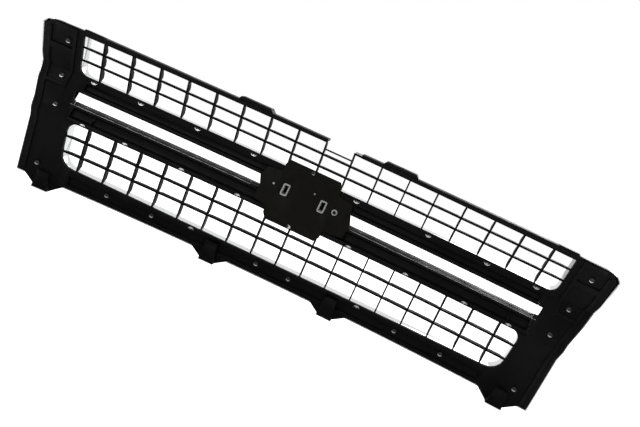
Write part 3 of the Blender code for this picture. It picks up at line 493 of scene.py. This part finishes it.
def zinc_in_painted_shade():
    """The flat of a spring nut: the same zinc steel, coloured dark as painted shade."""
    made, tree, shader = finish("zinc_steel_painted_shade")
    place = tree.nodes.new("ShaderNodeTexCoord").outputs["Object"]
    blotch = noise(tree, place, 500, 4, 0.6)
    dust = placed(tree, DUST, patch_scale=200.0)
    # dark colours here are painted shade on the fasteners' flats
    colour = tinted(tree, ranged(tree, blotch, 0.35, 0.65), (0.030, 0.030, 0.029), (0.060, 0.058, 0.055))
    colour = tinted(tree, dust.outputs["Mask"], colour, (0.075, 0.072, 0.066))
    tree.links.new(colour, shader.inputs["Base Color"])
    shader.inputs["Metallic"].default_value = 0.6
    tree.links.new(roughened(tree, 0.38, (blotch, 0.2)), shader.inputs["Roughness"])
    tree.links.new(bumped(tree, blotch, 0.00010, 0.4), shader.inputs["Normal"])
    return made


def grey_nylon():
    made, tree, shader = finish("natural_nylon")
    grain = placed(tree, GRAIN, pit_scale=2200.0)
    dust = placed(tree, DUST, patch_scale=160.0)
    colour = tinted(tree, grain.outputs["Flow"], (0.40, 0.40, 0.39), (0.52, 0.52, 0.50))
    colour = tinted(tree, dust.outputs["Mask"], colour, (0.22, 0.21, 0.20))
    tree.links.new(colour, shader.inputs["Base Color"])
    rough = roughened(tree, 0.36, (grain.outputs["Flow"], 0.12), (dust.outputs["Mask"], 0.2))
    tree.links.new(rough, shader.inputs["Roughness"])
    tree.links.new(bumped(tree, grain.outputs["Height"], 0.00008, 0.4), shader.inputs["Normal"])
    shader.inputs["Subsurface Weight"].default_value = 0.05
    return made


ZINC_HIGHLIGHT = zinc_plating()
NYLON = grey_nylon()
ZINC_IN_SHADE = zinc_in_painted_shade()
print("small pieces' finishes:", ZINC_HIGHLIGHT.name, NYLON.name, ZINC_IN_SHADE.name)

# %% [markdown]
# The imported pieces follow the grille's sweep in straight facets, from one station to the next. On a mirror
# finish each facet would show. Every piece is therefore copied, cut again between the stations, and moved by
# the small difference between the straight facet and the true curve. All pieces move by the same rule, so
# what was clear of its neighbour stays clear.
# %% From facets to the true curve
STATION = 0.108
PLAN_BOW = 0.1648
CROWN = 0.0142
FINE_STEPS = 6
PLATED_STEPS = 12
FLAT = math.radians(0.25)
WELD = 2e-6
CUT_NEAR = 1e-6


def off_the_facet(x, depth):
    """How far the curve depth * x * x lies from its straight chord between two stations, at x."""
    start = STATION * math.floor(x / STATION)
    end = start + STATION
    return depth * (x - start) * (x - end)


def true_curve(bm, steps):
    reach = max(abs(v.co.x) for v in bm.verts)
    fine = STATION / steps
    count = math.ceil(reach / fine)
    for k in range(-count, count + 1):
        geometry = bm.verts[:] + bm.edges[:] + bm.faces[:]
        cut = (k * fine, 0, 0)
        bmesh.ops.bisect_plane(bm, geom=geometry, dist=CUT_NEAR, plane_co=cut, plane_no=(1, 0, 0))
    for v in bm.verts:
        v.co.y += off_the_facet(v.co.x, PLAN_BOW)
        v.co.z -= off_the_facet(v.co.x, CROWN)


def clean_copy(node):
    """The node's solid as a bmesh, welded, with its flat faces whole again."""
    bm = bmesh.new()
    bm.from_mesh(nodes[node].data)
    bmesh.ops.remove_doubles(bm, verts=bm.verts, dist=WELD)
    bmesh.ops.dissolve_limit(bm, angle_limit=FLAT, verts=[], edges=bm.edges)
    return bm


print("the curve leaves a facet by up to", round(-1000 * off_the_facet(STATION / 2, PLAN_BOW), 2), "mm")

# %% [markdown]
# No moulding has a knife edge. The edges could be rounded by hand in the mesh, but a Bevel modifier finds
# every edge that turns sharply, and leaves the faint edges between fine facets alone. Its width is a real
# size, so each family of pieces states its own.
# %% Rounded edges
MOULDED_EDGE = 0.0004
PLATED_EDGE = 0.0010
FINE_EDGE = 0.0002
SHARP_TURN = math.radians(32)


def finished_piece(name, bm, material, stands_for, edge, segments):
    """An object on the grille's one body. stands_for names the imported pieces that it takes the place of."""
    mesh = bpy.data.meshes.new(name)
    bm.to_mesh(mesh)
    bm.free()
    mesh.materials.append(material)
    mesh.shade_smooth()
    piece = bpy.data.objects.new(name, mesh)
    scene.collection.objects.link(piece)
    if edge:
        rounding = piece.modifiers.new("rounded_edges", "BEVEL")
        rounding.width = edge
        rounding.segments = segments
        rounding.limit_method = "ANGLE"
        rounding.angle_limit = SHARP_TURN
        rounding.use_clamp_overlap = False
        rounding.harden_normals = True
        rounding.miter_outer = "MITER_ARC"
    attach(piece, "root")
    if stands_for:
        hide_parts(*stands_for)
    return piece


def recast(node, name, material, edge, steps=FINE_STEPS, segments=2):
    bm = clean_copy(node)
    true_curve(bm, steps)
    return finished_piece(name, bm, material, [node], edge, segments)


print("edges in millimetres:", [round(1000 * width, 2) for width in (MOULDED_EDGE, PLATED_EDGE, FINE_EDGE)])

# %% [markdown]
# The carriers are the rails and end panels that hold everything else. They are open channels and plates
# with walls under three millimetres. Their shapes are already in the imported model, and drawing them anew
# could only move them, so each is recast with tight edges, which walls so thin can take.
# %% Black carriers
CARRIERS = (
    "top_rail_left",
    "top_rail_right",
    "mid_rail_upper",
    "mid_rail_lower",
    "bottom_rail",
    "end_panel_left",
    "end_panel_right",
    "top_tab_left",
    "top_tab_right",
)
for node in CARRIERS:
    piece = recast(node, node + "_moulding", CARRIER_BLACK, MOULDED_EDGE)
    print(piece.name, len(piece.data.polygons), "faces")

# %% [markdown]
# The two grids are egg crates: thin upright ribs, two long bars each, and a ring around them. Every blade
# could be an object of its own, but a moulding has one skin, and light should run unbroken from rib to bar.
# %% Grids
for node in ("upper_grid", "lower_grid"):
    piece = recast(node, node + "_moulding", GRID_BLACK, MOULDED_EDGE)
    print(piece.name, len(piece.data.polygons), "faces")

# %% [markdown]
# The shell, the two centre bars and the plain badge are plated. Plating burns on sharp edges, so these have
# generous ones. A mirror also shows every facet, so they are cut twice as fine as the black pieces.
# %% Plated shell, bars and badge
for node in ("surround", "centre_bar_upper", "centre_bar_lower", "badge_blank"):
    piece = recast(node, node + "_plated", PLATED, PLATED_EDGE, PLATED_STEPS, segments=3)
    print(piece.name, len(piece.data.polygons), "faces")

# %% [markdown]
# What is left is small: the plate behind the badge, its sleeves and nut, and every clip and screw. Copies
# of one clip would do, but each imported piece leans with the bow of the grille, so each is recast in place.
# %% Badge seat and fasteners
recast("backing_plate", "backing_plate_moulding", PLATE_BLACK, MOULDED_EDGE)
for node in ("badge_sleeve_left", "badge_sleeve_right", "badge_push_nut"):
    recast(node, node + "_nylon", NYLON, FINE_EDGE)
FASTENERS = sorted(n for n in nodes if "_clip_" in n or "screw_" in n)
for node in FASTENERS:
    # the clip and screw bodies take the dark steel colour as painted shade
    recast(node, node + "_zinc", ZINC_IN_SHADE, FINE_EDGE)
print("fasteners:", len(FASTENERS))

# %% [markdown]
# The smallest details are thin, and they follow the bow and the lean of the grille. They could be modelled
# flat and bent by a modifier. It is simpler to draw each outline flat, as on paper, and to let one function
# lay every corner on the grille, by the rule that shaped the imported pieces.
# %% From a flat drawing to the bowed grille
DATUM = Vector((0.0, 0.003133, 0.120565))
DRAW_RISE = 0.10
UPPER_RAKE = 0.617
LOWER_RAKE = 0.274
BELT_TOP = -0.0513
BELT_BOTTOM = -0.1350
BELT_STEP = 0.0226


def on_grille(x, y, z):
    """A point of the drawing, x across, y behind the datum and z up, at its place on the bowed grille."""
    if z >= BELT_TOP:
        lean = UPPER_RAKE * z
    elif z >= BELT_BOTTOM:
        lean = UPPER_RAKE * BELT_TOP + BELT_STEP * (BELT_TOP - z) / (BELT_TOP - BELT_BOTTOM)
    else:
        lean = UPPER_RAKE * BELT_TOP + BELT_STEP + LOWER_RAKE * (z - BELT_BOTTOM)
    return DATUM + Vector((x, y + PLAN_BOW * x * x + lean, z - DRAW_RISE * y - CROWN * x * x))


def relief(name, outlines, low, high, material, slot_name, edge=FINE_EDGE):
    """Raised or let-in details: flat outlines pulled out from y = low to y = high and laid on the grille."""
    bm = bmesh.new()
    for outline in outlines:
        near = [bm.verts.new(on_grille(x, low, z)) for x, z in outline]
        far = [bm.verts.new(on_grille(x, high, z)) for x, z in outline]
        bm.faces.new(near)
        bm.faces.new(far[::-1])
        for i, (a, b) in enumerate(zip(near, far)):
            j = (i + 1) % len(near)
            bm.faces.new((near[j], near[i], b, far[j]))
    bmesh.ops.recalc_face_normals(bm, faces=bm.faces)
    return finished_piece(name, bm, material, None, edge, segments=1)


print("the belt's top edge lies at", [round(c, 4) for c in on_grille(0, 0, BELT_TOP)])

# %% [markdown]
# Three outlines are enough for all of these details: a bent strip that thins towards both ends, a disc, and
# a straight strip. Circles and arcs come from their formulas, so a few numbers describe each one.
# %% Outlines of small details


def crescent(x, z, across, tall, start, sweep, share, steps=10):
    """A bent strip around x, z. share is its width against its radius, and it narrows towards both ends."""
    outer, inner = [], []
    for i in range(steps + 1):
        turn = math.radians(start + sweep * i / steps)
        thin = 1 - share * (0.25 + 0.75 * math.sin(math.pi * i / steps))
        outer.append((x + across * math.cos(turn), z + tall * math.sin(turn)))
        inner.append((x + across * thin * math.cos(turn), z + tall * thin * math.sin(turn)))
    return outer + inner[::-1]


def disc(x, z, radius, sides=12):
    turns = [math.tau * i / sides for i in range(sides)]
    return [(x + radius * math.cos(a), z + radius * math.sin(a)) for a in turns]


def strip(x0, z0, x1, z1, width):
    """A straight strip from one point to the other."""
    along = Vector((x1 - x0, z1 - z0)).normalized()
    off = Vector((-along.y, along.x)) * width / 2
    edge = [(x0 + off.x, z0 + off.y), (x1 + off.x, z1 + off.y)]
    return edge + [(x1 - off.x, z1 - off.y), (x0 - off.x, z0 - off.y)]


print("corners of a disc and a strip:", len(disc(0, 0, 1)), len(strip(0, 0, 1, 0, 1)))

# %% [markdown]
# A spring clip is mostly in shadow. What shows is the glint on the raised lip of its round side and on the
# small tongue that grips the leg. Small lamps aimed at each clip would make them glint, but they would also
# spot the carriers around them, so each glint is a painted highlight: a bright strip of its own.
# %% Painted highlights on the lips and tongues of the clips
UPPER_CLIPS = [(x, -0.0524) for x in (-0.438, -0.3456, -0.2322, -0.0896, 0.1183, 0.2322, 0.3456, 0.438)]
LOWER_CLIPS = [(side * x, -0.1314) for side in (-1, 1) for x in (0.1115, 0.2240, 0.3364, 0.4194)]
SILL_CLIPS = [(-0.1700, -0.2262), (0.1700, -0.2262)]
FLANGE = 0.0033
CLIP_TOP = FLANGE + 0.0020
LIP_OFFSET = 0.0024
LIP_ACROSS = 0.0062
LIP_TALL = 0.0054
LIP_SHARE = 0.42
TONGUE_LONG = 0.0022
TONGUE_SHORT = 0.0014
TONGUE_WIDTH = 0.0010
LIP_RELIEF = (CLIP_TOP - 0.0004, CLIP_TOP + 0.0007)

lip_highlights = []
for x, z in UPPER_CLIPS:
    lip_highlights.append(crescent(x, z + LIP_OFFSET, LIP_ACROSS, LIP_TALL, 200, 140, LIP_SHARE))
    lip_highlights.append(strip(x - TONGUE_LONG, z, x + TONGUE_SHORT, z, TONGUE_WIDTH))
for x, z in LOWER_CLIPS + SILL_CLIPS:
    lip_highlights.append(crescent(x, z - LIP_OFFSET, LIP_ACROSS, LIP_TALL, 30, 120, LIP_SHARE))
    lip_highlights.append(strip(x - TONGUE_SHORT, z, x + TONGUE_LONG, z, TONGUE_WIDTH))
# these bright strips are painted highlights on the clips' lips and tongues
relief("clip_lip_highlights", lip_highlights, *LIP_RELIEF, ZINC_HIGHLIGHT, "zinc_plating")
print("lips and tongues:", len(lip_highlights))

# %% [markdown]
# A screw shows a glint on the rolled rim of its washer, on the side that faces the light. A whole ring would
# be truer to the washer, but its far side is in shadow, so each glint is a painted highlight: a bright
# crescent turned to the lit side.
# %% Painted highlights on the screws' rims
SILL_SCREWS = [(side * x, -0.2370) for side in (-1, 1) for x in (0.0336, 0.2494, 0.3405)]
RIGHT_SCREWS = [(0.4960, -0.0004), (0.4954, -0.0625), (0.4800, -0.1145), (0.4785, -0.2300)]
LEFT_SCREWS = [(-0.5068, -0.0004), (-0.5010, -0.0625), (-0.4885, -0.1145), (-0.4787, -0.2300)]
RIM_ACROSS = 0.0040
PLATE_RIM_ACROSS = 0.0038
SILL_RELIEF = (-0.0003, 0.0007)
END_RELIEF = (0.0057, 0.0067)
PLATE_RELIEF = (0.0091, 0.0101)

sill_rim_highlights = [crescent(x, z, RIM_ACROSS, 0.0036, 190, 160, 0.50) for x, z in SILL_SCREWS]
end_rim_highlights = [crescent(x, z, RIM_ACROSS, 0.0034, 200, 150, 0.50) for x, z in RIGHT_SCREWS + LEFT_SCREWS]
plate_rim_highlights = [
    crescent(0.0020, -0.1436, PLATE_RIM_ACROSS, 0.0034, 40, 250, 0.40),
    crescent(0.0020, -0.0370, PLATE_RIM_ACROSS, 0.0034, 210, 90, 0.40),
]
# bright crescents of painted highlight on the screws' washers
relief("sill_screw_highlights", sill_rim_highlights, *SILL_RELIEF, ZINC_HIGHLIGHT, "zinc_plating")
relief("end_screw_highlights", end_rim_highlights, *END_RELIEF, ZINC_HIGHLIGHT, "zinc_plating")
relief("plate_screw_highlights", plate_rim_highlights, *PLATE_RELIEF, ZINC_HIGHLIGHT, "zinc_plating")
print("screw rims:", len(sill_rim_highlights + end_rim_highlights + plate_rim_highlights))

# %% [markdown]
# The plate behind the badge carries two small nibs, whose pale colour is a painted highlight. Its two sockets
# and the push nut are dark inside. Their walls could be shaded black, but a dark sheet of painted shade
# inside each hole stays dark from any side.
# %% Nib highlights and painted shade in the sockets
SOCKET_X = 0.0370
SOCKET_Z = -0.0860
SOCKET_HALF = 0.0034
SOCKET_TALL = 0.0158
STUD_X = -0.0620
STUD_RADIUS = 0.0030
NIB_RELIEF = (0.0066, 0.0078)
SOCKET_SHADE_SHEET = (-0.0118, -0.0108)
STUD_SHADE_SHEET = (0.0095, 0.0103)

# raised nibs whose pale nylon colour is a painted highlight
nibs = [disc(0.0613, -0.0840, 0.0021), disc(-0.0151, -0.0709, 0.0016)]
relief("plate_nib_highlights", nibs, *NIB_RELIEF, NYLON, "grey_plastic")
sockets = [(side * SOCKET_X - SOCKET_HALF, side * SOCKET_X + SOCKET_HALF) for side in (-1, 1)]
# dark sheets of painted shade inside the sockets and the nut's bore
shadows = [strip(start, SOCKET_Z, end, SOCKET_Z, SOCKET_TALL) for start, end in sockets]
relief("socket_shadows", shadows, *SOCKET_SHADE_SHEET, PLATE_BLACK, "backing_moulding", 0)
stud = [disc(STUD_X, SOCKET_Z, STUD_RADIUS)]
relief("stud_shadow", stud, *STUD_SHADE_SHEET, PLATE_BLACK, "backing_moulding", 0)
print("nibs and dark floors:", len(nibs), len(shadows + stud))

# %% [markdown]
# Along the foot of each slot run two thin bright lines, where the plated step inside the slot and the edge of
# the shelf behind it catch the light. An edge that narrow is lost in a reflection, so each line is a painted
# highlight: a bright strip of its own, cut into short lengths that follow the bow. Two thin webs stiffen the
# channel under the slots.
# %% Painted highlights along the slots, and webs
SLOT_START = 0.1000
SLOT_END = 0.4580
SLOT_LENGTHS = 8
LINE_WIDTH = 0.0006
STEP_LINE_Z = -0.1017
SHELF_LINE_Z = -0.1031
STEP_RELIEF = (-0.0152, -0.0146)
SHELF_RELIEF = (0.0029, 0.0037)
WEB_WIDTH = 0.0012
WEB_DEPTH = (-0.0057, 0.0028)

for side, name in ((1, "right"), (-1, "left")):
    near, far = side * SLOT_START, side * SLOT_END
    cuts = [near + (far - near) * k / SLOT_LENGTHS for k in range(SLOT_LENGTHS + 1)]
    step_highlight_strips = [strip(a, STEP_LINE_Z, b, STEP_LINE_Z, LINE_WIDTH) for a, b in zip(cuts, cuts[1:])]
    shelf_highlight_strips = [strip(a, SHELF_LINE_Z, b, SHELF_LINE_Z, LINE_WIDTH) for a, b in zip(cuts, cuts[1:])]
    # bright strips of painted highlight along the foot of each slot
    relief(f"slot_step_highlight_{name}", step_highlight_strips, *STEP_RELIEF, ZINC_HIGHLIGHT, "zinc_plating", 0)
    relief(f"slot_shelf_highlight_{name}", shelf_highlight_strips, *SHELF_RELIEF, ZINC_HIGHLIGHT, "zinc_plating", 0)
webs = [
    strip(0.4061, -0.1046, 0.4095, -0.1258, WEB_WIDTH),
    strip(-0.4127, -0.1046, -0.4149, -0.1255, WEB_WIDTH),
]
relief("channel_webs", webs, *WEB_DEPTH, CARRIER_BLACK, "black_moulding")
print("lengths in a slot's edge, and webs:", SLOT_LENGTHS, len(webs))

# %% [markdown]
# The looks may not change the size of the object. Rounding takes a little away from a corner, and nothing may
# add to it. Both boxes are measured, and how far the second reaches past the first is printed.
# %% Sizes and finish
seen_low, seen_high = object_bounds()
growth = (cad_low - seen_low)[:] + (seen_high - cad_high)[:]
print("grown by, in millimetres:", [round(1000 * g, 2) for g in growth])
